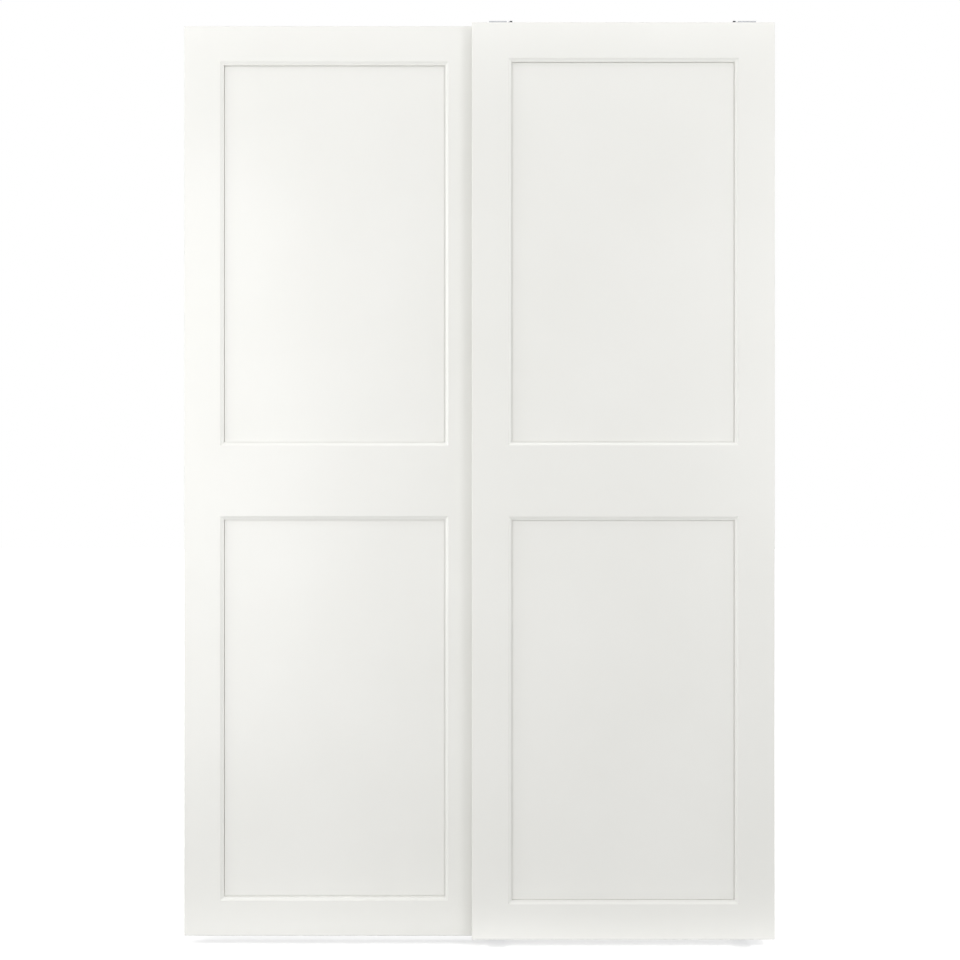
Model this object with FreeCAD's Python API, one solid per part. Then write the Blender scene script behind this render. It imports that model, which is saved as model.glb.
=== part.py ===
import FreeCAD, Part
import os
from math import cos, pi, sin

# A pair of panelled wardrobe doors that slide past each other on one top track, in millimetres.
# X runs along the track, Z is up, the room is on the -Y side and the carcass front is Y = 0.
# The origin is the middle of the top track's row of screw holes, on the track's back face.

# The closed pair
CLOSED_WIDTH = 1500.0
DOOR_OVERLAP = 32.0
DOOR_HEIGHT = 2320.0
DOOR_THICKNESS = 20.0
DOOR_GAP = 10.0  # from the front door's back to the rear door's front
DOOR_TOP = 12.0  # above the track's screw holes

# Door frames and panels
STILE_WIDTH = 92.0  # flat face, without the moulded edge
RAIL_WIDTH = 90.0
MIDDLE_RAIL_WIDTH = 180.0
ARRIS = 1.2  # bevel along the outer edges
MOULDING_WIDTH = 9.0
MOULDING_QUIRK = 0.5  # step where the moulding leaves the flat face
MOULDING_SLOPE = 6.2  # width of the sloped part, up to the flat fillet
MOULDING_FILLET_DEPTH = 4.4
MOULDING_ARRIS = 0.5  # bevel of the fillet's edge at the panel
PANEL_RECESS = 9.0
PANEL_THICKNESS = 6.0
PANEL_STEP = 2.5  # from the panel's field back to its tongue
PANEL_SHADOW_GAP = 1.0  # between the moulding and the panel's field
GROOVE_BACKING = 1.0  # from the groove's floor to the end of the flat face
PANEL_EXPANSION_GAP = 1.0
PANEL_SEAT_GAP = 0.02
TENON_LENGTH = 30.0
TENON_THICKNESS = 7.0
TENON_SHOULDER = 18.0  # from a rail's edge to its tenon
SEAT_GAP = 0.02  # round tenons, axles and pressed pieces
BLIND_GAP = 0.5  # at the end of a mortice or a blind pocket

# Depths of the running gear, from the carcass towards the room
RAIL_WEB = 2.5  # of the top track and of the guide rail
WEB_CLEARANCE = 0.9
AXLE_HEAD = 1.8
END_PLAY = 0.2
WHEEL_SIDE_GAP = 0.8
CARRIER_SHEET = 2.0
SLIDE_GAP = 0.3
HANGER_SHEET = 2.0
LANE_GAP = 2.0

# Wheels and axles
WHEEL_AXIS = 2.0  # above the track's screw holes
TREAD_RADIUS = 9.7
FLANGE_DEPTH = 2.3
FLANGE_THICKNESS = 1.2
FLANGE_GAP = 0.3  # from the rib's sides
ROLLING_GAP = 0.02  # from the rib's top
AXLE_RADIUS = 3.0
AXLE_HEAD_REACH = 2.2  # of the head's six corners over the shank
RUNNING_GAP = 0.05

# Top track
TRACK_END_INSET = 5.0  # from the side of the closed pair
TRACK_WEB_TOP = 9.0
BULB_RADIUS = 2.5
STEM_THICKNESS = 2.2
STEM_HEIGHT = 9.5  # from the base to the middle of the round rib
TRACK_BASE = 2.5
RAIL_HOLE_RADIUS = 2.25
RAIL_HOLE_SPACING = 400.0
RAIL_HOLE_END_MARGIN = 50.0

# Track end stops
STOP_PLATE = 3.0
STOP_FIT_GAP = 0.3
STOP_DOOR_GAP = 0.5
STOP_HEAD_GAP = 1.0
STOP_CHAMFER = 1.5
BUFFER_WIDTH = 5.6
BUFFER_HEIGHT = 9.0
BUFFER_LENGTH = 4.2
BUFFER_GAP = 0.3
BUFFER_ROOT = 5.0  # of the rubber in its pocket
BUFFER_RIM = 1.2  # of the rubber round its root

# Hangers
HANGER_WIDTH = 58.0
HANGER_FROM_JOINT = 19.5  # from the joint of stile and rail back to the wheel
HANGER_DROP = 62.0  # of the screwed plate below the door's top
HANGER_ARM_RISE = 8.5  # of the long hanger's arm over the door's top
SHORT_HANGER_TOP_GAP = 1.0
CHANNEL_BELOW_AXIS = 7.0
CHANNEL_ABOVE_AXIS = 8.0
LONG_FLANGE_BELOW_AXIS = 9.0
BEND_RADIUS = 1.5
PLATE_CORNER = 5.0  # cut off the corners of the screwed plates
CLIP_WIDTH = 6.0
CLIP_WALL = 1.2
CLIP_GAP = 1.0  # above the door, below the arm and below the arm's top
BEND_SLOT_WIDTH = 5.0  # slot through the long hanger's bend, beside the clip
BEND_SLOT_FROM_EDGE = 7.8
BEND_SLOT_DEPTH = 12.0  # into the arm
BEND_SLOT_DROP = 6.0  # from the arm's top down the plate

# Wheel carriers and height screws
CARRIER_ABOVE_AXIS = 10.0
LIFT_GAP = 0.8
LIFT_STEM_GAP = 0.4
HEIGHT_TAB_MARGIN = 2.0  # round the height screw
HEIGHT_TAB_GAP = 1.7  # from the wheel's rim
SHELF_BELOW_AXIS = 0.5
SHORT_TAB_ABOVE_AXIS = 4.0
HEIGHT_SCREW_RADIUS = 2.5
HEIGHT_SCREW_ABOVE_TAB = 2.6
HEIGHT_SCREW_SOCKET_RADIUS = 1.45  # to the corners of its six sides
HEIGHT_SCREW_SOCKET_DEPTH = 2.5

# Bottom guide rail, guide brackets and shoes, measured from the doors' bottom edge
GUIDE_RAIL_RISE = 8.0
GUIDE_GROOVE_WIDTH = 6.0
GUIDE_GROOVE_HEIGHT = 14.0
GUIDE_WALL = 2.0
GUIDE_TOP_PLATE = 2.5
GUIDE_WEB_RISE = 20.5  # over the top plate
GUIDE_HOLE_RISE = 11.5  # over the top plate
GUIDE_CAP_PLATE = 2.0
GUIDE_CAP_PLUG = 12.0
GUIDE_PLAY = 0.5
GUIDE_TONGUE_TOP_GAP = 4.0
GUIDE_TONGUE_LENGTH = 30.0
GUIDE_TONGUE_LEAD = 1.6  # bevel at the tongue's ends
GUIDE_SHOULDER_GAP = 3.5  # from the shoe's shoulder up to the rail
GUIDE_BASE_WIDTH = 10.0
GUIDE_BASE_LENGTH = 36.0
GUIDE_PEG_WIDTH = 4.0
GUIDE_PEG_LENGTH = 24.0
GUIDE_BRACKET_WIDTH = 44.0
GUIDE_BRACKET_SHEET = 2.0
GUIDE_BRACKET_RISE = 52.0
REAR_FOOT_RISE = 0.5
FRONT_ARM_DROP = 6.5

# Sizes that follow
DOOR_WIDTH = (CLOSED_WIDTH + DOOR_OVERLAP) / 2
DOOR_BOTTOM = DOOR_TOP - DOOR_HEIGHT
OPENING_WIDTH = DOOR_WIDTH - 2 * STILE_WIDTH
OPENING_HEIGHT = (DOOR_HEIGHT - 2 * RAIL_WIDTH - MIDDLE_RAIL_WIDTH) / 2
LOWER_OPENING = DOOR_BOTTOM + RAIL_WIDTH
UPPER_OPENING = LOWER_OPENING + OPENING_HEIGHT + MIDDLE_RAIL_WIDTH
WHEEL_RADIUS = TREAD_RADIUS + FLANGE_DEPTH
WHEEL_WIDTH = 2 * (BULB_RADIUS + FLANGE_GAP + FLANGE_THICKNESS)
BULB_HEIGHT = WHEEL_AXIS - TREAD_RADIUS - ROLLING_GAP - BULB_RADIUS
TRACK_BASE_TOP = BULB_HEIGHT - STEM_HEIGHT
TRACK_BASE_BOTTOM = TRACK_BASE_TOP - TRACK_BASE
TRACK_END = CLOSED_WIDTH / 2 - TRACK_END_INSET
ARM_BOTTOM = DOOR_TOP + HANGER_ARM_RISE
ARM_TOP = ARM_BOTTOM + HANGER_SHEET
HANGER_INSET = STILE_WIDTH - HANGER_FROM_JOINT  # from the door's side to the wheel
HANGER_BOTTOM = DOOR_TOP - HANGER_DROP
CHANNEL_BOTTOM = WHEEL_AXIS - CHANNEL_BELOW_AXIS
CHANNEL_TOP = WHEEL_AXIS + CHANNEL_ABOVE_AXIS
CARRIER_WIDTH = HANGER_WIDTH - 2 * (HANGER_SHEET + SLIDE_GAP)
HEIGHT_TAB_REACH = HEIGHT_SCREW_RADIUS + HEIGHT_TAB_MARGIN
HEIGHT_SCREW_OFFSET = WHEEL_RADIUS + HEIGHT_TAB_GAP + HEIGHT_TAB_REACH
SHELF_TOP = WHEEL_AXIS - SHELF_BELOW_AXIS
CHANNEL_MOUTH = 2 * (HEIGHT_SCREW_OFFSET + HEIGHT_TAB_REACH + SLIDE_GAP)
HANGER_SIDE = CLOSED_WIDTH / 2 - HANGER_INSET + HANGER_WIDTH / 2
STOP_FACE = HANGER_SIDE + BUFFER_GAP + BUFFER_LENGTH
GUIDE_RAIL_BOTTOM = DOOR_BOTTOM + GUIDE_RAIL_RISE
GUIDE_PLATE_BOTTOM = GUIDE_RAIL_BOTTOM + GUIDE_GROOVE_HEIGHT
GUIDE_PLATE_TOP = GUIDE_PLATE_BOTTOM + GUIDE_TOP_PLATE
GUIDE_SHOULDER = GUIDE_RAIL_BOTTOM - GUIDE_SHOULDER_GAP
GUIDE_TONGUE_TOP = GUIDE_PLATE_BOTTOM - GUIDE_TONGUE_TOP_GAP
GUIDE_TONGUE_WIDTH = GUIDE_GROOVE_WIDTH - 2 * GUIDE_PLAY
GUIDE_BRACKET_TOP = DOOR_BOTTOM + GUIDE_BRACKET_RISE
RAILS = (("top", DOOR_TOP - RAIL_WIDTH, DOOR_TOP),
         ("middle", UPPER_OPENING - MIDDLE_RAIL_WIDTH, UPPER_OPENING),
         ("bottom", DOOR_BOTTOM, LOWER_OPENING))


class Lane:
    """Depths of one door's running gear, from the axle head at its back to the hanger in front."""

    def __init__(self, back):
        self.head_back = back
        self.head_front = self.head_back - AXLE_HEAD
        self.wheel_back = self.head_front - END_PLAY
        self.wheel_front = self.wheel_back - WHEEL_WIDTH
        self.centre = (self.wheel_back + self.wheel_front) / 2
        self.carrier_back = self.wheel_front - WHEEL_SIDE_GAP
        self.carrier_front = self.carrier_back - CARRIER_SHEET
        self.plate_back = self.carrier_front - SLIDE_GAP
        self.plate_front = self.plate_back - HANGER_SHEET
        self.lip_front = self.carrier_back + SLIDE_GAP
        self.lip_back = self.lip_front + HANGER_SHEET


FRONT_LANE = Lane(-RAIL_WEB - WEB_CLEARANCE)
REAR_LANE = Lane(FRONT_LANE.plate_front - LANE_GAP)
LANES = (FRONT_LANE, REAR_LANE)


class Door:
    """One door of the pair: where its box lies, which side is its outer one and its lane."""

    def __init__(self, name, left, back, outer, lane):
        self.name = name
        self.left = left
        self.right = left + DOOR_WIDTH
        self.back = back
        self.front = back - DOOR_THICKNESS
        self.middle = back - DOOR_THICKNESS / 2
        self.outer = outer
        self.lane = lane

    def ends(self):
        """The hanger places as (end name, X of the wheel, direction to the door's middle)."""
        left = (self.left + HANGER_INSET, 1)
        right = (self.right - HANGER_INSET, -1)
        outer, inner = (left, right) if self.outer < 0 else (right, left)
        return (("outer", *outer), ("inner", *inner))


REAR_DOOR = Door("rear", -CLOSED_WIDTH / 2, REAR_LANE.plate_front, -1, REAR_LANE)
FRONT_DOOR = Door("front", CLOSED_WIDTH / 2 - DOOR_WIDTH, REAR_DOOR.front - DOOR_GAP, 1, FRONT_LANE)


# Shapes that many pieces use

def point(x, y, z):
    return FreeCAD.Vector(x, y, z)


def polygon(corners):
    return Part.Face(Part.makePolygon([*corners, corners[0]]))


def block(x_span, y_span, z_span):
    low = point(min(x_span), min(y_span), min(z_span))
    high = point(max(x_span), max(y_span), max(z_span))
    size = high - low
    return Part.makeBox(size.x, size.y, size.z, low)


def prism_x(outline, x_span):
    """A (y, z) outline drawn out along X."""
    face = polygon([point(x_span[0], y, z) for y, z in outline])
    return face.extrude(point(x_span[1] - x_span[0], 0, 0))


def prism_y(outline, y_span):
    """An (x, z) outline drawn out along Y."""
    face = polygon([point(x, y_span[0], z) for x, z in outline])
    return face.extrude(point(0, y_span[1] - y_span[0], 0))


def prism_z(outline, z_span):
    """An (x, y) outline drawn out along Z."""
    face = polygon([point(x, y, z_span[0]) for x, y in outline])
    return face.extrude(point(0, 0, z_span[1] - z_span[0]))


def hexagon(across, up, radius):
    """The corners of a six-sided outline round a place."""
    return [(across + radius * cos(side * pi / 3), up + radius * sin(side * pi / 3)) for side in range(6)]


def rod(start, end, radius):
    return Part.makeCylinder(radius, (end - start).Length, start, end - start)


def turned_y(outline, x, z):
    """An outline of (radius, y) turned about an axis along Y."""
    face = polygon([point(x + radius, y, z) for radius, y in outline])
    return face.revolve(point(x, 0, z), point(0, 1, 0), 360)


def joined(first, *others):
    return first.multiFuse(list(others)).removeSplitter().Solids[0]


def without(solid, *tools):
    return solid.cut(Part.makeCompound(list(tools))).Solids[0]


def lies(edge, along, **places):
    """Is it a straight edge along this axis, at one of the given places on each other axis?"""
    if len(edge.Vertexes) != 2:
        return False
    run = edge.Vertexes[1].Point - edge.Vertexes[0].Point
    if abs(getattr(run, along)) < run.Length - 1e-6 or run.Length < 1e-6:
        return False
    middle = edge.CenterOfMass
    return all(min(abs(getattr(middle, axis) - value) for value in values) < 1e-4
               for axis, values in places.items())


def named_edges(solid, rules):
    """The straight edges that any rule names, a rule being (axis, places on the others)."""
    return [edge for edge in solid.Edges if any(lies(edge, along, **places) for along, places in rules)]


def rounded(solid, radius, *rules):
    return solid.makeFillet(radius, named_edges(solid, rules))


def bevelled(solid, width, *rules):
    return solid.makeChamfer(width, named_edges(solid, rules))


# Door frame: stiles over the full height, rails tenoned between them, a moulded edge round each panel

def moulding(corner_x, corner_z, front, length, turn):
    """The moulded and grooved edge along one side of an opening, mitred at both ends.

    It is drawn along X with the opening above it, then turned about Y to its side.
    """
    inner = MOULDING_WIDTH
    groove_front = PANEL_RECESS + PANEL_STEP - PANEL_SEAT_GAP
    groove_back = PANEL_RECESS + PANEL_THICKNESS + PANEL_SEAT_GAP
    outline = [(0, MOULDING_QUIRK), (MOULDING_SLOPE, MOULDING_FILLET_DEPTH),
               (inner - MOULDING_ARRIS, MOULDING_FILLET_DEPTH),
               (inner, MOULDING_FILLET_DEPTH + MOULDING_ARRIS), (inner, groove_front),
               (GROOVE_BACKING, groove_front), (GROOVE_BACKING, groove_back), (inner, groove_back),
               (inner, DOOR_THICKNESS), (0, DOOR_THICKNESS)]
    strip = prism_x([(front + depth, across) for across, depth in outline], (0, length))
    mitres = prism_y([(0, 0), (length, 0), (length - inner, inner), (inner, inner)],
                     (front, front + DOOR_THICKNESS))
    strip = strip.common(mitres).Solids[0]
    strip.rotate(point(0, 0, 0), point(0, 1, 0), turn)
    strip.translate(point(corner_x, 0, corner_z))
    return strip


def tenons(door, low, high, gap=0.0, end_gap=0.0):
    """The tenons at both ends of a rail, or their mortices, which are larger by the gaps."""
    half = TENON_THICKNESS / 2 + gap
    heights = (low + TENON_SHOULDER - gap, high - TENON_SHOULDER + gap)
    depths = (door.middle - half, door.middle + half)
    return [block((joint, joint + hand * (TENON_LENGTH + end_gap)), depths, heights)
            for joint, hand in ((door.left + STILE_WIDTH, -1), (door.right - STILE_WIDTH, 1))]


def stile(door, side):
    """A stile on the door's left (-1) or right (+1) side, with the moulding of both openings."""
    edge, joint = (door.left, door.left + STILE_WIDTH)
    turn, start = 90, OPENING_HEIGHT
    if side > 0:
        edge, joint = (door.right, door.right - STILE_WIDTH)
        turn, start = 270, 0
    faces = (door.front, door.back)
    board = block((edge, joint), faces, (DOOR_BOTTOM, DOOR_TOP))
    board = bevelled(board, ARRIS, ("z", {"x": [edge], "y": faces}),
                     ("x", {"y": faces, "z": (DOOR_BOTTOM, DOOR_TOP)}))
    strips = [moulding(joint, opening + start, door.front, OPENING_HEIGHT, turn)
              for opening in (LOWER_OPENING, UPPER_OPENING)]
    mortices = [mortice for _, low, high in RAILS for mortice in tenons(door, low, high, SEAT_GAP, BLIND_GAP)]
    return without(joined(board, *strips), *mortices)


def rail(door, low, high):
    """A rail between the stiles, moulded on the sides that face an opening and bevelled outside."""
    joints = (door.left + STILE_WIDTH, door.right - STILE_WIDTH)
    faces = (door.front, door.back)
    board = block(joints, faces, (low, high))
    strips = []
    if low > DOOR_BOTTOM:
        strips.append(moulding(joints[1], low, door.front, OPENING_WIDTH, 180))
    else:
        board = bevelled(board, ARRIS, ("x", {"y": faces, "z": [low]}))
    if high < DOOR_TOP:
        strips.append(moulding(joints[0], high, door.front, OPENING_WIDTH, 0))
    else:
        board = bevelled(board, ARRIS, ("x", {"y": faces, "z": [high]}))
    return joined(board, *strips, *tenons(door, low, high))


def panel(door, opening):
    """A flat field with a shadow gap round it, on a thinner tongue that can swell in the grooves."""
    face = door.front + PANEL_RECESS
    tongue_front = face + PANEL_STEP

    def layer(reach, depths):
        return block((door.left + STILE_WIDTH + reach, door.right - STILE_WIDTH - reach), depths,
                     (opening + reach, opening + OPENING_HEIGHT - reach))

    return joined(layer(MOULDING_WIDTH + PANEL_SHADOW_GAP, (face, tongue_front)),
                  layer(GROOVE_BACKING + PANEL_EXPANSION_GAP, (tongue_front, face + PANEL_THICKNESS)))


# Hangers: folded steel plates whose two inward lips hold the wheel carrier, so that it slides up and down

def channel(x, lane):
    """The two folded sides of the hanger's channel."""
    side = HANGER_WIDTH / 2
    sides = []
    for hand in (-1, 1):
        outline = [(x + hand * across, depth) for across, depth in (
            (side - HANGER_SHEET, lane.plate_front), (side, lane.plate_front), (side, lane.lip_back),
            (CHANNEL_MOUTH / 2, lane.lip_back), (CHANNEL_MOUTH / 2, lane.lip_front),
            (side - HANGER_SHEET, lane.lip_front))]
        fold = prism_z(outline, (CHANNEL_BOTTOM, CHANNEL_TOP))
        sides.append(rounded(fold, BEND_RADIUS, ("z", {"x": [x + hand * side], "y": [lane.lip_back]})))
    return sides


def height_tab(x, inward, lane, start, low):
    """The tab that the height screw is threaded in, from a depth to just behind the screw."""
    screw = x + inward * HEIGHT_SCREW_OFFSET
    tab = block((screw - HEIGHT_TAB_REACH, screw + HEIGHT_TAB_REACH), (start, lane.centre + HEIGHT_TAB_REACH),
                (low, low + HANGER_SHEET))
    thread = rod(point(screw, lane.centre, low), point(screw, lane.centre, low + HANGER_SHEET),
                 HEIGHT_SCREW_RADIUS + RUNNING_GAP)
    return without(tab, thread)


def short_hanger(door, x, inward):
    """The rear door's hanger: one plate behind the stile, folded into a channel at its top."""
    lane = door.lane
    top = DOOR_TOP - SHORT_HANGER_TOP_GAP
    sides = (x - HANGER_WIDTH / 2, x + HANGER_WIDTH / 2)
    plate = block(sides, (lane.plate_front, lane.plate_back), (HANGER_BOTTOM, top))
    plate = bevelled(plate, PLATE_CORNER, ("y", {"x": sides, "z": [HANGER_BOTTOM]}))
    tab = height_tab(x, inward, lane, lane.plate_front, WHEEL_AXIS + SHORT_TAB_ABOVE_AXIS)
    return joined(plate, tab, *channel(x, lane))


def long_hanger(door, x, inward):
    """The front door's hanger: a plate behind the stile, an arm over the rear door and a hanging flange."""
    lane = door.lane
    sides = (x - HANGER_WIDTH / 2, x + HANGER_WIDTH / 2)
    plate_back = door.back + HANGER_SHEET
    flange_bottom = WHEEL_AXIS - LONG_FLANGE_BELOW_AXIS
    strip = prism_x([(door.back, HANGER_BOTTOM), (door.back, ARM_TOP), (lane.plate_back, ARM_TOP),
                     (lane.plate_back, flange_bottom), (lane.plate_front, flange_bottom),
                     (lane.plate_front, ARM_BOTTOM), (plate_back, ARM_BOTTOM), (plate_back, HANGER_BOTTOM)],
                    sides)
    strip = rounded(strip, BEND_RADIUS, ("x", {"y": (plate_back, lane.plate_front), "z": [ARM_BOTTOM]}))
    strip = rounded(strip, BEND_RADIUS + HANGER_SHEET,
                    ("x", {"y": (door.back, lane.plate_back), "z": [ARM_TOP]}))
    strip = bevelled(strip, PLATE_CORNER, ("y", {"x": sides, "z": [HANGER_BOTTOM]}))
    slot_end = x + inward * (HANGER_WIDTH / 2 - BEND_SLOT_FROM_EDGE)
    slot = block((slot_end, slot_end - inward * BEND_SLOT_WIDTH), (door.back, door.back + BEND_SLOT_DEPTH),
                 (ARM_TOP - BEND_SLOT_DROP, ARM_TOP))
    tab_start = lane.plate_front - BEND_RADIUS - HANGER_SHEET
    tab = height_tab(x, inward, lane, tab_start, ARM_BOTTOM)
    return joined(without(strip, slot), tab, *channel(x, lane))


def hanger_clip(door, x, inward):
    """A plastic clip pushed on the upright edge of a long hanger, above the door's top."""
    edge = x + inward * HANGER_WIDTH / 2
    plate_back = door.back + HANGER_SHEET
    low = DOOR_TOP + CLIP_GAP
    back_top = ARM_BOTTOM - BEND_RADIUS - CLIP_GAP
    outside = edge + inward * CLIP_WALL
    inside = outside - inward * CLIP_WIDTH
    front = block((inside, outside), (door.back - CLIP_WALL, door.back), (low, ARM_TOP - CLIP_GAP))
    end = block((edge, outside), (door.back, plate_back), (low, back_top))
    back = block((inside, outside), (plate_back, plate_back + CLIP_WALL), (low, back_top))
    return joined(front, end, back)


# Wheel carriers: a plate in the channel, a lip under the rib against lifting, a shelf for the height screw

def wheel_carrier(x, inward, lane):
    sides = (x - CARRIER_WIDTH / 2, x + CARRIER_WIDTH / 2)
    top = WHEEL_AXIS + CARRIER_ABOVE_AXIS
    lip_top = BULB_HEIGHT - BULB_RADIUS - LIFT_GAP
    lip_bottom = lip_top - CARRIER_SHEET
    lip_end = lane.centre - STEM_THICKNESS / 2 - LIFT_STEM_GAP
    plate = prism_x([(lane.carrier_front, lip_bottom), (lane.carrier_front, top), (lane.carrier_back, top),
                     (lane.carrier_back, lip_top), (lip_end, lip_top), (lip_end, lip_bottom)], sides)
    plate = rounded(plate, BEND_RADIUS, ("x", {"y": [lane.carrier_front], "z": [lip_bottom]}))
    screw = x + inward * HEIGHT_SCREW_OFFSET
    shelf = block((screw - HEIGHT_TAB_REACH, screw + HEIGHT_TAB_REACH),
                  (lane.carrier_front, lane.centre + HEIGHT_TAB_REACH),
                  (SHELF_TOP - CARRIER_SHEET, SHELF_TOP))
    notch_half = HEIGHT_TAB_REACH + SLIDE_GAP
    notch = block((screw - notch_half, screw + notch_half), (lane.carrier_front, lane.carrier_back),
                  (SHELF_TOP, top))
    return joined(without(plate, notch), shelf, wheel_axle(x, lane))


def wheel_axle(x, lane):
    """The six-sided shoulder bolt that is riveted into the carrier for good, so it is one piece with it."""
    shank = rod(point(x, lane.carrier_front, WHEEL_AXIS), point(x, lane.head_front, WHEEL_AXIS), AXLE_RADIUS)
    head = prism_y(hexagon(x, WHEEL_AXIS, AXLE_RADIUS + AXLE_HEAD_REACH), (lane.head_front, lane.head_back))
    return joined(shank, head)


def wheel(x, lane):
    """A grooved nylon wheel that turns on the axle."""
    bore = AXLE_RADIUS + RUNNING_GAP
    near, far = lane.wheel_front + FLANGE_THICKNESS, lane.wheel_back - FLANGE_THICKNESS
    return turned_y([(bore, lane.wheel_front), (WHEEL_RADIUS, lane.wheel_front), (WHEEL_RADIUS, near),
                     (TREAD_RADIUS, near), (TREAD_RADIUS, far), (WHEEL_RADIUS, far),
                     (WHEEL_RADIUS, lane.wheel_back), (bore, lane.wheel_back)], x, WHEEL_AXIS)


def height_screw(x, inward, lane, tab_low):
    """A set screw with a six-sided socket, threaded in the hanger's tab, that stands on the shelf."""
    screw = x + inward * HEIGHT_SCREW_OFFSET
    top = tab_low + HANGER_SHEET + HEIGHT_SCREW_ABOVE_TAB
    shank = rod(point(screw, lane.centre, SHELF_TOP), point(screw, lane.centre, top), HEIGHT_SCREW_RADIUS)
    socket = hexagon(screw, lane.centre, HEIGHT_SCREW_SOCKET_RADIUS)
    return without(shank, prism_z(socket, (top - HEIGHT_SCREW_SOCKET_DEPTH, top)))


# Bottom guides: a folded bracket under the stile with a plastic tongue that runs in the rail's groove

def guide_bracket(door, x, foot_low):
    sides = (x - GUIDE_BRACKET_WIDTH / 2, x + GUIDE_BRACKET_WIDTH / 2)
    foot_top = foot_low + GUIDE_BRACKET_SHEET
    plate_back = door.back + GUIDE_BRACKET_SHEET
    foot_end = door.lane.centre + GUIDE_BASE_WIDTH / 2
    fold = prism_x([(door.back, foot_low), (door.back, GUIDE_BRACKET_TOP), (plate_back, GUIDE_BRACKET_TOP),
                    (plate_back, foot_top), (foot_end, foot_top), (foot_end, foot_low)], sides)
    fold = rounded(fold, BEND_RADIUS, ("x", {"y": [plate_back], "z": [foot_top]}))
    fold = rounded(fold, BEND_RADIUS + GUIDE_BRACKET_SHEET, ("x", {"y": [door.back], "z": [foot_low]}))
    fold = bevelled(fold, PLATE_CORNER, ("y", {"x": sides, "z": [GUIDE_BRACKET_TOP]}))
    return without(fold, guide_peg(door, x, foot_low, SEAT_GAP))


def guide_peg(door, x, foot_low, gap=0.0):
    """The shoe's peg in the bracket's foot, or its slot, which is larger by the gap."""
    centre = door.lane.centre
    half_length, half_width = GUIDE_PEG_LENGTH / 2 + gap, GUIDE_PEG_WIDTH / 2 + gap
    return block((x - half_length, x + half_length), (centre - half_width, centre + half_width),
                 (foot_low, foot_low + GUIDE_BRACKET_SHEET))


def guide_shoe(door, x, foot_low):
    depth = door.lane.centre
    foot_top = foot_low + GUIDE_BRACKET_SHEET
    base_ends = (x - GUIDE_BASE_LENGTH / 2, x + GUIDE_BASE_LENGTH / 2)
    base_sides = (depth - GUIDE_BASE_WIDTH / 2, depth + GUIDE_BASE_WIDTH / 2)
    base = block(base_ends, base_sides, (foot_top, GUIDE_SHOULDER))
    tongue_ends = (x - GUIDE_TONGUE_LENGTH / 2, x + GUIDE_TONGUE_LENGTH / 2)
    tongue_sides = (depth - GUIDE_TONGUE_WIDTH / 2, depth + GUIDE_TONGUE_WIDTH / 2)
    tongue = block(tongue_ends, tongue_sides, (GUIDE_SHOULDER, GUIDE_TONGUE_TOP))
    tongue = bevelled(tongue, GUIDE_TONGUE_LEAD, ("z", {"x": tongue_ends, "y": tongue_sides}))
    return joined(base, tongue, guide_peg(door, x, foot_low))


# Aluminium rails, each one extruded section with a row of holes for the carcass screws

def extrusion(faces, x_span):
    section = faces[0].multiFuse(faces[1:]).removeSplitter()
    bar = section.extrude(point(x_span[1] - x_span[0], 0, 0))
    return bar.Solids[0]


def section_box(x, y_span, z_span):
    back, front = max(y_span), min(y_span)
    low, high = z_span
    return polygon([point(x, front, low), point(x, back, low), point(x, back, high), point(x, front, high)])


def section_disc(x, y, z, radius):
    return Part.Face(Part.Wire(Part.makeCircle(radius, point(x, y, z), point(1, 0, 0))))


def rail_holes(height):
    """A row of holes in even steps, mirrored about the middle and as long as the rail takes."""
    pairs = int((TRACK_END - RAIL_HOLE_END_MARGIN) / RAIL_HOLE_SPACING + 0.5)
    places = [hand * RAIL_HOLE_SPACING * (pair + 0.5) for pair in range(pairs) for hand in (-1, 1)]
    return [rod(point(x, -RAIL_WEB, height), point(x, 0, height), RAIL_HOLE_RADIUS) for x in places]


def top_track():
    """A web on the carcass, a base and a round running rib for each door."""
    x_span = (-TRACK_END, TRACK_END)
    start = x_span[0]
    base_front = REAR_LANE.centre - BULB_RADIUS
    faces = [section_box(start, (-RAIL_WEB, 0), (TRACK_BASE_BOTTOM, TRACK_WEB_TOP)),
             section_box(start, (base_front, 0), (TRACK_BASE_BOTTOM, TRACK_BASE_TOP))]
    for lane in LANES:
        stem = (lane.centre - STEM_THICKNESS / 2, lane.centre + STEM_THICKNESS / 2)
        faces.append(section_box(start, stem, (TRACK_BASE_BOTTOM, BULB_HEIGHT)))
        faces.append(section_disc(start, lane.centre, BULB_HEIGHT, BULB_RADIUS))
    return without(extrusion(faces, x_span), *rail_holes(0))


def guide_walls():
    """The Y spans of the walls on both sides of each groove."""
    spans = []
    for lane in LANES:
        for hand in (-1, 1):
            inside = lane.centre + hand * GUIDE_GROOVE_WIDTH / 2
            spans.append((inside, inside + hand * GUIDE_WALL))
    return spans


def bottom_guide_rail():
    """A web on the carcass and a top plate whose walls make two grooves, open downwards."""
    x_span = (-TRACK_END, TRACK_END)
    start = x_span[0]
    faces = [section_box(start, (-RAIL_WEB, 0), (GUIDE_RAIL_BOTTOM, GUIDE_PLATE_TOP + GUIDE_WEB_RISE)),
             section_box(start, (guide_front(), 0), (GUIDE_PLATE_BOTTOM, GUIDE_PLATE_TOP))]
    faces += [section_box(start, span, (GUIDE_RAIL_BOTTOM, GUIDE_PLATE_TOP)) for span in guide_walls()]
    return without(extrusion(faces, x_span), *rail_holes(GUIDE_PLATE_TOP + GUIDE_HOLE_RISE))


def guide_front():
    return REAR_LANE.centre - GUIDE_GROOVE_WIDTH / 2 - GUIDE_WALL


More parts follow.
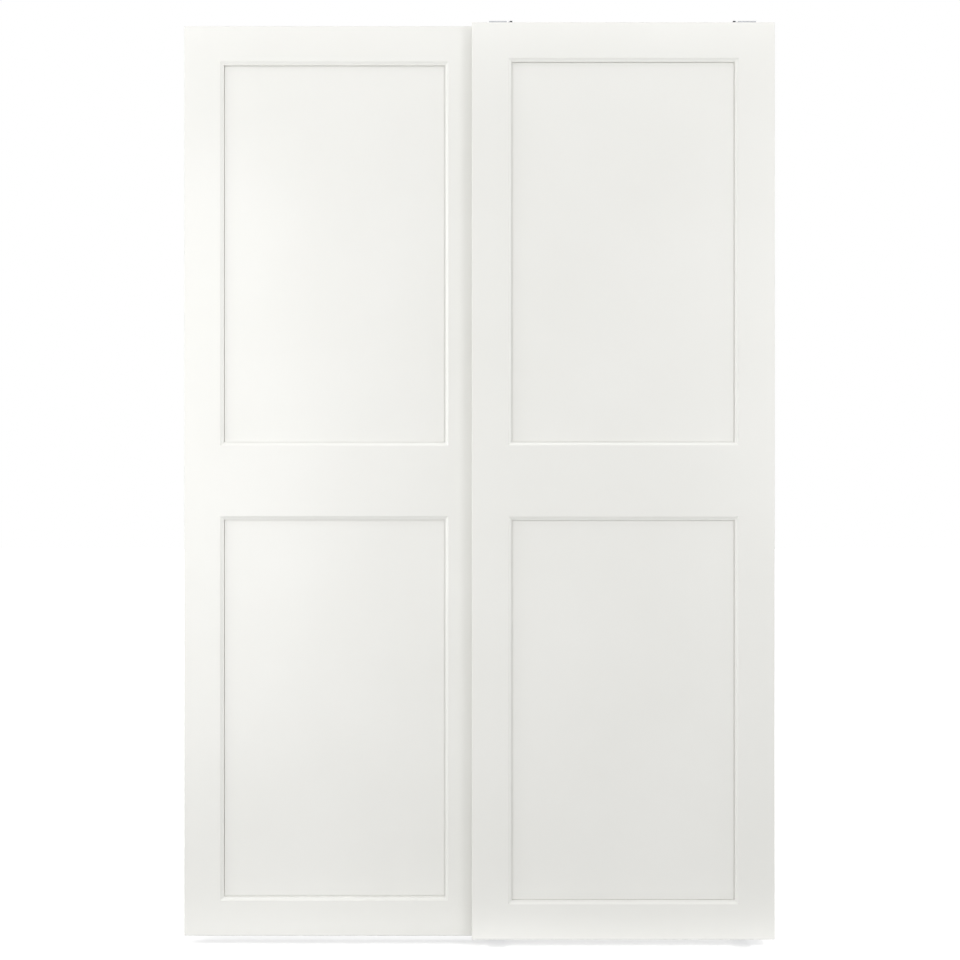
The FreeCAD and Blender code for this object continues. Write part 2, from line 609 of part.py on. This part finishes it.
def guide_cap(hand):
    """A plastic cap on the guide rail's end, held by plugs in the two grooves."""
    inner = hand * TRACK_END
    outer = inner + hand * GUIDE_CAP_PLATE
    web_top = GUIDE_PLATE_TOP + GUIDE_WEB_RISE
    cap = prism_x([(0, GUIDE_RAIL_BOTTOM), (0, web_top), (-RAIL_WEB, web_top), (-RAIL_WEB, GUIDE_PLATE_TOP),
                   (guide_front(), GUIDE_PLATE_TOP), (guide_front(), GUIDE_RAIL_BOTTOM)], (inner, outer))
    half = GUIDE_GROOVE_WIDTH / 2 - SEAT_GAP
    plugs = [block((inner, inner - hand * GUIDE_CAP_PLUG), (lane.centre - half, lane.centre + half),
                   (GUIDE_RAIL_BOTTOM, GUIDE_PLATE_BOTTOM - SEAT_GAP)) for lane in LANES]
    return joined(cap, *plugs)


# Track end stops: a plastic end plate with a block pushed over both ribs, a rubber buffer for each door

def buffer_block(hand, lane, x_span, shrink=0.0):
    """A block in line with the folded side of a door's hangers, its X span taken from the stop's face."""
    face = hand * STOP_FACE
    front = lane.plate_front + STOP_DOOR_GAP
    half = BUFFER_HEIGHT / 2 - shrink
    return block((face + hand * x_span[0], face + hand * x_span[1]),
                 (front + shrink, front + BUFFER_WIDTH - shrink), (WHEEL_AXIS - half, WHEEL_AXIS + half))


def stop_buffer(hand, lane):
    return joined(buffer_block(hand, lane, (-BUFFER_LENGTH, 0)),
                  buffer_block(hand, lane, (0, BUFFER_ROOT), BUFFER_RIM))


def end_stop(hand):
    inner, end = hand * STOP_FACE, hand * TRACK_END
    front = REAR_DOOR.back + STOP_DOOR_GAP
    top = TRACK_WEB_TOP - STOP_HEAD_GAP
    body = block((inner, end), (front, -RAIL_WEB - STOP_FIT_GAP), (TRACK_BASE_TOP + SEAT_GAP, top))
    plate = block((end, end + hand * STOP_PLATE), (front, 0), (TRACK_BASE_BOTTOM, TRACK_WEB_TOP))
    cuts = []
    for lane in LANES:
        slot = BULB_RADIUS + SEAT_GAP
        cuts.append(block((inner, end), (lane.centre - slot, lane.centre + slot),
                          (TRACK_BASE_TOP, BULB_HEIGHT + slot)))
        cuts.append(buffer_block(hand, lane, (0, BUFFER_ROOT + BLIND_GAP), BUFFER_RIM - SEAT_GAP))
    return bevelled(without(joined(body, plate), *cuts), STOP_CHAMFER, ("y", {"x": [inner], "z": [top]}))


# The rails and what is fixed to them

nodes = {}
SIDES = (("left", -1), ("right", 1))
nodes["top_track"] = top_track()
nodes["bottom_guide_rail"] = bottom_guide_rail()
for side, hand in SIDES:
    nodes[f"track_end_stop_{side}"] = end_stop(hand)
    nodes[f"guide_rail_end_cap_{side}"] = guide_cap(hand)
nodes["stop_buffers"] = Part.makeCompound([stop_buffer(hand, lane) for _, hand in SIDES for lane in LANES])

# Both doors with their running gear

for door in (REAR_DOOR, FRONT_DOOR):
    is_front = door is FRONT_DOOR
    name = door.name
    nodes[f"{name}_stile_outer"] = stile(door, door.outer)
    nodes[f"{name}_stile_inner"] = stile(door, -door.outer)
    for rail_name, low, high in RAILS:
        nodes[f"{name}_rail_{rail_name}"] = rail(door, low, high)
    nodes[f"{name}_panel_upper"] = panel(door, UPPER_OPENING)
    nodes[f"{name}_panel_lower"] = panel(door, LOWER_OPENING)
    hanger = long_hanger if is_front else short_hanger
    tab_low = ARM_BOTTOM if is_front else WHEEL_AXIS + SHORT_TAB_ABOVE_AXIS
    foot_low = DOOR_BOTTOM - FRONT_ARM_DROP if is_front else DOOR_BOTTOM + REAR_FOOT_RISE
    for end, x, inward in door.ends():
        nodes[f"{name}_hanger_{end}"] = hanger(door, x, inward)
        nodes[f"{name}_wheel_carrier_{end}"] = wheel_carrier(x, inward, door.lane)
        nodes[f"{name}_wheel_{end}"] = wheel(x, door.lane)
        nodes[f"{name}_height_screw_{end}"] = height_screw(x, inward, door.lane, tab_low)
        nodes[f"{name}_guide_bracket_{end}"] = guide_bracket(door, x, foot_low)
        nodes[f"{name}_guide_shoe_{end}"] = guide_shoe(door, x, foot_low)
nodes["front_hanger_clips"] = Part.makeCompound([hanger_clip(FRONT_DOOR, x, inward)
                                                 for _, x, inward in FRONT_DOOR.ends()])

os.makedirs("parts", exist_ok=True)
for name, shape in nodes.items():
    if not shape.isValid():
        raise ValueError(f"{name} is not a valid shape")
    shape.exportStep(f"parts/{name}.step")
print(len(nodes), "nodes,", sum(len(shape.Solids) for shape in nodes.values()), "solids")
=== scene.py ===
from math import pi, radians

import bpy
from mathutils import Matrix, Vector


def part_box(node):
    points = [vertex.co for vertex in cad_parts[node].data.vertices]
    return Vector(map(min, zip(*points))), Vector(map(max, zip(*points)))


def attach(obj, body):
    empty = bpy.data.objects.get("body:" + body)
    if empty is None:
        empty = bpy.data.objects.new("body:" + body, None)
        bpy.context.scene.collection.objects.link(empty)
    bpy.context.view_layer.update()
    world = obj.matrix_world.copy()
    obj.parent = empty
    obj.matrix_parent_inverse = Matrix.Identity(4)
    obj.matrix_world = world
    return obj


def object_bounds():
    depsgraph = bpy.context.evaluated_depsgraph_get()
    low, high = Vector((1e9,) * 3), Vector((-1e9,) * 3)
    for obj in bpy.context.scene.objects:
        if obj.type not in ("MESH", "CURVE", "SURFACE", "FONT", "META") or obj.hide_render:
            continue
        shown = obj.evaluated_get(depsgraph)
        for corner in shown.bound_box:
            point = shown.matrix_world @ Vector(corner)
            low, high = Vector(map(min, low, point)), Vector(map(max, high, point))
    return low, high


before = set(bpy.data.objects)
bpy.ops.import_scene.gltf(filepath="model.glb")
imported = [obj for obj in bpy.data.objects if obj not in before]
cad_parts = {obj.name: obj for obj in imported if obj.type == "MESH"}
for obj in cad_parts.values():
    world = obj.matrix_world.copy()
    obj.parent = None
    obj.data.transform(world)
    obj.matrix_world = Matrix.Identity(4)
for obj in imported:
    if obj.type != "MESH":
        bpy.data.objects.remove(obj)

cad_low, cad_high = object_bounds()

# Top track: one length of extruded aluminium, anodised silver. It is screwed through its web to
# the carcass, and each door's wheels run on a round rib that stands up from its base.
PATTERN_RANGE = (0.3, 0.7)  # holds nearly all values of a noise pattern


def new_finish(name, metallic=0.0):
    """A new material and its shader, still without colour, gloss and relief."""
    material = bpy.data.materials.new(name)
    material.use_nodes = True
    shader = material.node_tree.nodes["Principled BSDF"]
    shader.inputs["Metallic"].default_value = metallic
    return material, shader


def grain(material, scale, stretch=(1.0, 1.0, 1.0), detail=3.0):
    """A noise pattern fixed to the piece, in metres, drawn out along the axes that stretch shrinks."""
    nodes, links = material.node_tree.nodes, material.node_tree.links
    place = nodes.new("ShaderNodeTexCoord")
    mapping = nodes.new("ShaderNodeMapping")
    mapping.inputs["Scale"].default_value = stretch
    noise = nodes.new("ShaderNodeTexNoise")
    noise.inputs["Scale"].default_value = scale
    noise.inputs["Detail"].default_value = detail
    links.new(place.outputs["Object"], mapping.inputs["Vector"])
    links.new(mapping.outputs["Vector"], noise.inputs["Vector"])
    return noise.outputs["Fac"]


def tint(material, shader, pattern, dark, light):
    """Lets the colour wander between two close tones with the pattern."""
    nodes, links = material.node_tree.nodes, material.node_tree.links
    ramp = nodes.new("ShaderNodeValToRGB")
    for stop, position, tone in zip(ramp.color_ramp.elements, PATTERN_RANGE, (dark, light)):
        stop.position = position
        stop.color = (*tone, 1.0)
    links.new(pattern, ramp.inputs["Fac"])
    links.new(ramp.outputs["Color"], shader.inputs["Base Color"])


def rescale(nodes, old_range, new_range):
    """A node that carries values over from one range to another."""
    node = nodes.new("ShaderNodeMapRange")
    for end, value in zip(("From Min", "From Max", "To Min", "To Max"), (*old_range, *new_range)):
        node.inputs[end].default_value = value
    return node


def gloss(material, shader, pattern, smooth, rough):
    """Lets the roughness wander between two values with the pattern."""
    nodes, links = material.node_tree.nodes, material.node_tree.links
    spread = rescale(nodes, PATTERN_RANGE, (smooth, rough))
    links.new(pattern, spread.inputs["Value"])
    links.new(spread.outputs["Result"], shader.inputs["Roughness"])


def relief(material, shader, pattern, height, strength):
    """Raises the surface a little by the pattern, for the light only."""
    nodes, links = material.node_tree.nodes, material.node_tree.links
    bump = nodes.new("ShaderNodeBump")
    bump.inputs["Distance"].default_value = height
    bump.inputs["Strength"].default_value = strength
    links.new(pattern, bump.inputs["Height"])
    links.new(bump.outputs["Normal"], shader.inputs["Normal"])


def dress(material, *nodes):
    """Gives CAD nodes their finish."""
    for node in nodes:
        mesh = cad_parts[node].data
        mesh.materials.clear()
        mesh.materials.append(material)


anodised, shader = new_finish("anodised_aluminium", metallic=1.0)
drawn_lines = grain(anodised, scale=900.0, stretch=(0.004, 1.0, 1.0))
tint(anodised, shader, drawn_lines, dark=(0.48, 0.49, 0.50), light=(0.57, 0.58, 0.59))
gloss(anodised, shader, grain(anodised, scale=60.0, stretch=(0.1, 1.0, 1.0)), smooth=0.28, rough=0.4)
relief(anodised, shader, drawn_lines, height=0.00004, strength=0.35)
dress(anodised, "top_track")

# End stops: grey plastic blocks pushed over the ribs at both ends of the track, with black rubber
# buffers pressed into pockets in them, which the hangers meet when a door is fully closed or open.
grey_plastic, shader = new_finish("grey_moulded_plastic")
moulded_skin = grain(grey_plastic, scale=1400.0)
tint(grey_plastic, shader, moulded_skin, dark=(0.39, 0.40, 0.41), light=(0.44, 0.45, 0.46))
gloss(grey_plastic, shader, grain(grey_plastic, scale=120.0), smooth=0.44, rough=0.56)
relief(grey_plastic, shader, moulded_skin, height=0.00005, strength=0.3)
dress(grey_plastic, "track_end_stop_left", "track_end_stop_right")

buffer_rubber, shader = new_finish("buffer_rubber")
rubber_skin = grain(buffer_rubber, scale=2200.0)
tint(buffer_rubber, shader, rubber_skin, dark=(0.035, 0.035, 0.035), light=(0.06, 0.06, 0.06))
gloss(buffer_rubber, shader, rubber_skin, smooth=0.68, rough=0.82)
relief(buffer_rubber, shader, rubber_skin, height=0.00008, strength=0.4)
dress(buffer_rubber, "stop_buffers")

# Bottom guide rail: the same anodised aluminium, with two grooves that are open downwards. It is
# screwed to the carcass behind the doors' lower edge, and grey plastic caps close its ends.
dress(anodised, "bottom_guide_rail")
dress(grey_plastic, "guide_rail_end_cap_left", "guide_rail_end_cap_right")

# Wheel carriers: pressed steel plates with bright zinc plating, which slide in the hangers'
# channels. Each has a shoulder bolt riveted in as its axle and a shelf for the height screw.
zinc_plate, shader = new_finish("bright_zinc_plate", metallic=1.0)
plating = grain(zinc_plate, scale=260.0, detail=5.0)
tint(zinc_plate, shader, plating, dark=(0.31, 0.32, 0.34), light=(0.40, 0.41, 0.42))
gloss(zinc_plate, shader, grain(zinc_plate, scale=90.0, detail=5.0), smooth=0.28, rough=0.44)
relief(zinc_plate, shader, grain(zinc_plate, scale=1800.0), height=0.00003, strength=0.3)
for door in ("rear", "front"):
    dress(zinc_plate, f"{door}_wheel_carrier_outer", f"{door}_wheel_carrier_inner")

# Wheels: moulded from natural nylon, with a groove that fits over the track's rib. They turn on
# the carriers' axles.
natural_nylon, shader = new_finish("natural_nylon")
shader.inputs["Subsurface Weight"].default_value = 0.12
shader.inputs["Subsurface Radius"].default_value = (0.002, 0.002, 0.0016)
nylon_cloud = grain(natural_nylon, scale=180.0)
tint(natural_nylon, shader, nylon_cloud, dark=(0.74, 0.74, 0.69), light=(0.80, 0.80, 0.76))
gloss(natural_nylon, shader, nylon_cloud, smooth=0.36, rough=0.48)
relief(natural_nylon, shader, grain(natural_nylon, scale=1200.0), height=0.00003, strength=0.25)
for door in ("rear", "front"):
    dress(natural_nylon, f"{door}_wheel_outer", f"{door}_wheel_inner")

# Height screws: blackened steel set screws, threaded in the hangers' tabs. They stand on the
# carriers' shelves, so that turning them raises or lowers the door.
THREAD_PITCH = 0.0008
WAVE_RATE = 20.0  # radians a metre in a wave texture at scale 1
black_steel, shader = new_finish("blackened_steel", metallic=0.8)
oil_stain = grain(black_steel, scale=700.0)
tint(black_steel, shader, oil_stain, dark=(0.05, 0.05, 0.055), light=(0.09, 0.09, 0.095))
gloss(black_steel, shader, oil_stain, smooth=0.3, rough=0.5)
nodes, links = black_steel.node_tree.nodes, black_steel.node_tree.links
screw_place = nodes.new("ShaderNodeTexCoord")
thread = nodes.new("ShaderNodeTexWave")
thread.bands_direction = "Z"
thread.wave_profile = "TRI"
thread.inputs["Scale"].default_value = 2 * pi / (WAVE_RATE * THREAD_PITCH)
links.new(screw_place.outputs["Object"], thread.inputs["Vector"])
relief(black_steel, shader, thread.outputs["Fac"], height=0.0003, strength=0.9)
for door in ("rear", "front"):
    dress(black_steel, f"{door}_height_screw_outer", f"{door}_height_screw_inner")

# Door frames and panels: solid stiles and rails with tenoned joints and a moulded edge, and thin
# boards in their grooves, all wrapped in a smooth satin foil, white with a touch of warmth.
FOIL_DARK = (0.842, 0.839, 0.804)
FOIL_LIGHT = (0.862, 0.859, 0.826)
white_foil, shader = new_finish("white_satin_foil")
tint(white_foil, shader, grain(white_foil, scale=3.0), dark=FOIL_DARK, light=FOIL_LIGHT)
gloss(white_foil, shader, grain(white_foil, scale=9.0, detail=0.0), smooth=0.29, rough=0.31)
relief(white_foil, shader, grain(white_foil, scale=420.0), height=0.00004, strength=0.12)
for door in ("rear", "front"):
    dress(white_foil, f"{door}_stile_outer", f"{door}_stile_inner", f"{door}_rail_top",
          f"{door}_rail_middle", f"{door}_rail_bottom", f"{door}_panel_upper", f"{door}_panel_lower")

# Hangers: pressed steel sheet with the same zinc plating, folded into a channel for the carrier.
# The front door's pair reach over the rear door, and each has a black plastic clip on its edge.
for door in ("rear", "front"):
    dress(zinc_plate, f"{door}_hanger_outer", f"{door}_hanger_inner")

black_plastic, shader = new_finish("black_moulded_plastic")
black_skin = grain(black_plastic, scale=1500.0)
tint(black_plastic, shader, black_skin, dark=(0.02, 0.02, 0.022), light=(0.04, 0.04, 0.044))
gloss(black_plastic, shader, grain(black_plastic, scale=160.0), smooth=0.42, rough=0.54)
relief(black_plastic, shader, black_skin, height=0.00005, strength=0.3)
dress(black_plastic, "front_hanger_clips")

# Guide brackets and shoes: zinc-plated steel angles, screwed to the doors' backs at the lower edge.
# A black plastic shoe is pegged into each foot, and its tongue runs in a groove of the bottom rail.
for door in ("rear", "front"):
    for end in ("outer", "inner"):
        dress(zinc_plate, f"{door}_guide_bracket_{end}")
        dress(black_plastic, f"{door}_guide_shoe_{end}")

# Wood screws: zinc-plated, with low heads and a cross recess, driven from behind through the
# hangers and the guide brackets into the stiles and rails. Only their heads show.
HEAD_RADIUS = 0.0038
HEAD_SIDES = 24
HEAD_HEIGHT = 0.0009
HEAD_CROWN = 0.72  # top of the head as a share of its width
RECESS_WIDTH = 0.0010
RECESS_LENGTH = 0.0044
RECESS_DEPTH = 0.0006
TURN_SEED = 7
SHEET = 0.002  # of hangers and guide brackets
HANGER_ROWS = (0.008, 0.024)  # above a hanger's lower edge
HANGER_COLUMN = 0.019  # from a hanger's middle
BRACKET_ROWS = (0.009, 0.026)  # below a bracket's upper edge


def screw_head_tree():
    """Sets a screw head, turned at random about its own axis, on each point, facing +Y."""
    tree = bpy.data.node_groups.new("wood_screw_heads", "GeometryNodeTree")
    face = tree.interface
    face.new_socket("Points", in_out="INPUT", socket_type="NodeSocketGeometry")
    for name in ("Head Radius", "Head Height", "Crown",
                 "Recess Width", "Recess Length", "Recess Depth"):
        face.new_socket(name, in_out="INPUT", socket_type="NodeSocketFloat")
    face.new_socket("Turn Seed", in_out="INPUT", socket_type="NodeSocketInt")
    face.new_socket("Finish", in_out="INPUT", socket_type="NodeSocketMaterial")
    face.new_socket("Screws", in_out="OUTPUT", socket_type="NodeSocketGeometry")

    def add(kind, **values):
        node = tree.nodes.new(kind)
        for key, value in values.items():
            setattr(node, key, value)
        return node

    def join(source, target):
        tree.links.new(source, target)

    given = add("NodeGroupInput").outputs
    crown = add("ShaderNodeMath", operation="MULTIPLY")
    join(given["Head Radius"], crown.inputs[0])
    join(given["Crown"], crown.inputs[1])
    head = add("GeometryNodeMeshCone")
    head.inputs["Vertices"].default_value = HEAD_SIDES
    join(crown.outputs[0], head.inputs["Radius Top"])
    join(given["Head Radius"], head.inputs["Radius Bottom"])
    join(given["Head Height"], head.inputs["Depth"])
    depth = add("ShaderNodeMath", operation="MULTIPLY")
    depth.inputs[1].default_value = 2.0  # half of the cross stands out of the head
    join(given["Recess Depth"], depth.inputs[0])
    cross = add("GeometryNodeJoinGeometry")
    for across, along in (("Recess Width", "Recess Length"), ("Recess Length", "Recess Width")):
        size = add("ShaderNodeCombineXYZ")
        join(given[across], size.inputs["X"])
        join(given[along], size.inputs["Y"])
        join(depth.outputs[0], size.inputs["Z"])
        arm = add("GeometryNodeMeshCube")
        join(size.outputs[0], arm.inputs["Size"])
        join(arm.outputs["Mesh"], cross.inputs[0])
    lift = add("ShaderNodeCombineXYZ")
    join(given["Head Height"], lift.inputs["Z"])
    raised = add("GeometryNodeTransform")
    join(cross.outputs[0], raised.inputs["Geometry"])
    join(lift.outputs[0], raised.inputs["Translation"])
    cut = add("GeometryNodeMeshBoolean", operation="DIFFERENCE", solver="EXACT")
    cut.inputs["Self Intersection"].default_value = True  # the cross's arms pass through each other
    join(head.outputs["Mesh"], cut.inputs["Mesh 1"])
    join(raised.outputs["Geometry"], cut.inputs["Mesh 2"])
    turn = add("FunctionNodeRandomValue", data_type="FLOAT")
    turn.inputs[3].default_value = radians(360)  # the highest float
    join(given["Turn Seed"], turn.inputs["Seed"])
    facing = add("ShaderNodeCombineXYZ")
    facing.inputs["X"].default_value = radians(-90)
    join(turn.outputs[1], facing.inputs["Y"])
    place = add("GeometryNodeInstanceOnPoints")
    join(given["Points"], place.inputs["Points"])
    join(cut.outputs["Mesh"], place.inputs["Instance"])
    join(facing.outputs[0], place.inputs["Rotation"])
    solid = add("GeometryNodeRealizeInstances")
    join(place.outputs["Instances"], solid.inputs["Geometry"])
    coat = add("GeometryNodeSetMaterial")
    join(solid.outputs["Geometry"], coat.inputs["Geometry"])
    join(given["Finish"], coat.inputs["Material"])
    join(coat.outputs["Geometry"], add("NodeGroupOutput").inputs["Screws"])
    return tree


def screw_places(door):
    """Where a door's screws go: four in each hanger and two in each guide bracket."""
    places = []
    for end in ("outer", "inner"):
        low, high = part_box(f"{door}_hanger_{end}")
        middle = (low.x + high.x) / 2
        for row in HANGER_ROWS:
            for side in (-1, 1):
                places.append((middle + side * HANGER_COLUMN, low.y + SHEET, low.z + row))
        low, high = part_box(f"{door}_guide_bracket_{end}")
        middle = (low.x + high.x) / 2
        for row in BRACKET_ROWS:
            places.append((middle, low.y + SHEET, high.z - row))
    return places


screw_tree = screw_head_tree()
screw_values = {"Head Radius": HEAD_RADIUS, "Head Height": HEAD_HEIGHT, "Crown": HEAD_CROWN,
                "Recess Width": RECESS_WIDTH, "Recess Length": RECESS_LENGTH,
                "Recess Depth": RECESS_DEPTH, "Turn Seed": TURN_SEED, "Finish": zinc_plate}
for door in ("rear", "front"):
    points = bpy.data.meshes.new(f"{door}_screw_places")
    points.from_pydata(screw_places(door), [], [])
    screws = bpy.data.objects.new(f"{door}_wood_screws", points)
    bpy.context.scene.collection.objects.link(screws)
    setting = screws.modifiers.new("screw_heads", "NODES")
    setting.node_group = screw_tree
    for socket in screw_tree.interface.items_tree:
        if socket.name in screw_values:
            setting[socket.identifier] = screw_values[socket.name]
    bpy.context.view_layer.update()
    made = bpy.data.meshes.new_from_object(screws.evaluated_get(bpy.context.evaluated_depsgraph_get()))
    screws.modifiers.clear()
    screws.data = made
    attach(screws, f"{door}_door")

# The studio: a pale floor just under the doors, large soft lamps and a level camera in front.
# What the camera sees of the floor and of the room behind is white, and the floor keeps the shadow.
FLOOR_DROP = 0.016  # from the lowest piece
FLOOR_SIZE = 40.0
FLOOR_GREY = 0.45  # for the light that it throws back at the doors
FLOOR_ROUGHNESS = 0.9
SEEN_FLOOR_GREY = 0.8  # for the camera, before the glow
LIT_FLOOR = (0.5, 5.0)  # distances over which the lamps' light on the floor fades
FLOOR_GLOW = (0.5, 0.97)  # what the seen floor lacks to white at those distances
floor_mesh = bpy.data.meshes.new("studio_floor")
half = FLOOR_SIZE / 2
floor_height = cad_low.z - FLOOR_DROP
floor_mesh.from_pydata([(-half, -half, floor_height), (half, -half, floor_height),
                        (half, half, floor_height), (-half, half, floor_height)], [], [(0, 1, 2, 3)])
floor = bpy.data.objects.new("studio_floor", floor_mesh)
bpy.context.scene.collection.objects.link(floor)


def seen_directly(nodes, links):
    """1 for what the camera sees itself, in a mirror or through glass, and 0 for light that falls."""
    path = nodes.new("ShaderNodeLightPath")
    either = nodes.new("ShaderNodeMath")
    either.operation = "MAXIMUM"
    links.new(path.outputs["Is Camera Ray"], either.inputs[0])
    links.new(path.outputs["Is Glossy Ray"], either.inputs[1])
    any_way = nodes.new("ShaderNodeMath")
    any_way.operation = "MAXIMUM"
    links.new(either.outputs[0], any_way.inputs[0])
    links.new(path.outputs["Is Transmission Ray"], any_way.inputs[1])
    return any_way.outputs[0]


floor_paint, shader = new_finish("studio_floor_paint")
shader.inputs["Roughness"].default_value = FLOOR_ROUGHNESS
shader.inputs["Base Color"].default_value = (FLOOR_GREY, FLOOR_GREY, FLOOR_GREY, 1.0)
nodes, links = floor_paint.node_tree.nodes, floor_paint.node_tree.links
floor_place = nodes.new("ShaderNodeTexCoord")
away = nodes.new("ShaderNodeVectorMath")
away.operation = "DISTANCE"
away.inputs[1].default_value = (0.0, 0.0, floor_height)
links.new(floor_place.outputs["Object"], away.inputs[0])
missing = rescale(nodes, LIT_FLOOR, FLOOR_GLOW)
links.new(away.outputs["Value"], missing.inputs["Value"])
glow = nodes.new("ShaderNodeEmission")
links.new(missing.outputs["Result"], glow.inputs["Strength"])
pale_floor = nodes.new("ShaderNodeBsdfDiffuse")
pale_floor.inputs["Color"].default_value = (SEEN_FLOOR_GREY, SEEN_FLOOR_GREY, SEEN_FLOOR_GREY, 1.0)
white_floor = nodes.new("ShaderNodeAddShader")
links.new(pale_floor.outputs["BSDF"], white_floor.inputs[0])
links.new(glow.outputs["Emission"], white_floor.inputs[1])
either_floor = nodes.new("ShaderNodeMixShader")
links.new(seen_directly(nodes, links), either_floor.inputs["Fac"])
links.new(shader.outputs["BSDF"], either_floor.inputs[1])
links.new(white_floor.outputs["Shader"], either_floor.inputs[2])
links.new(either_floor.outputs["Shader"], nodes["Material Output"].inputs["Surface"])
floor_mesh.materials.append(floor_paint)

ROOM_LIGHT = 0.386  # for light that falls
ROOM_SEEN = 1.0
room = bpy.data.worlds.new("studio_room")
room.use_nodes = True
bpy.context.scene.world = room
nodes, links = room.node_tree.nodes, room.node_tree.links
strength = rescale(nodes, (0.0, 1.0), (ROOM_LIGHT, ROOM_SEEN))
links.new(seen_directly(nodes, links), strength.inputs["Value"])
links.new(strength.outputs["Result"], nodes["Background"].inputs["Strength"])
nodes["Background"].inputs["Color"].default_value = (1.0, 1.0, 1.0, 1.0)


def soft_lamp(name, place, aim, size, power):
    """A rectangular lamp that shines from its place towards its aim."""
    lamp = bpy.data.lights.new(name, "AREA")
    lamp.shape = "RECTANGLE"
    lamp.size, lamp.size_y = size
    lamp.energy = power
    holder = bpy.data.objects.new(name, lamp)
    holder.location = place
    holder.rotation_euler = (Vector(aim) - Vector(place)).to_track_quat("-Z", "Y").to_euler()
    bpy.context.scene.collection.objects.link(holder)


soft_lamp("left_softbox", place=(-1.3, -2.3, -0.95), aim=(-0.75, 0.0, -0.95),
          size=(1.4, 2.45), power=22.2)
soft_lamp("right_softbox", place=(1.9, -2.3, -0.5), aim=(0.6, 0.0, -0.85),
          size=(1.2, 2.0), power=22.1)
soft_lamp("left_side_lamp", place=(-2.6, -0.9, -0.6), aim=(0.0, 0.0, -1.0),
          size=(1.0, 2.2), power=24.0)
soft_lamp("right_side_lamp", place=(2.6, -0.9, -0.6), aim=(0.0, 0.0, -1.0),
          size=(1.0, 2.2), power=10.1)
soft_lamp("ceiling_lamp", place=(0.0, -0.9, 1.7), aim=(0.0, -0.1, -1.5),
          size=(2.6, 1.2), power=16.6)
soft_lamp("floor_strip", place=(0.0, -0.13, -2.328), aim=(0.0, -0.083, -2.145),
          size=(2.2, 0.05), power=0.362)
soft_lamp("ceiling_strip", place=(0.0, -0.17, 0.06), aim=(0.0, -0.083, -0.145),
          size=(2.2, 0.06), power=0.197)
soft_lamp("back_lamp", place=(2.2, 2.4, 1.5), aim=(0.0, 0.0, -1.1),
          size=(1.6, 1.6), power=85.0)

CAMERA_DISTANCE = 3.46  # from the front door's face
CAMERA_ASIDE = 0.0046  # to the right of the pair's middle
CAMERA_RISE = 0.0025  # above the doors' middle
FOCAL_LENGTH = 51.33
SENSOR_WIDTH = 36.0
door_low, door_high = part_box("front_stile_outer")
lens = bpy.data.cameras.new("camera")
lens.sensor_width = SENSOR_WIDTH
lens.lens = FOCAL_LENGTH
camera = bpy.data.objects.new("camera", lens)
camera.location = (CAMERA_ASIDE, door_low.y - CAMERA_DISTANCE,
                   (door_low.z + door_high.z) / 2 + CAMERA_RISE)
camera.rotation_euler = (radians(90), 0.0, 0.0)
bpy.context.scene.collection.objects.link(camera)
bpy.context.scene.camera = camera
bpy.context.scene.view_settings.view_transform = "Standard"
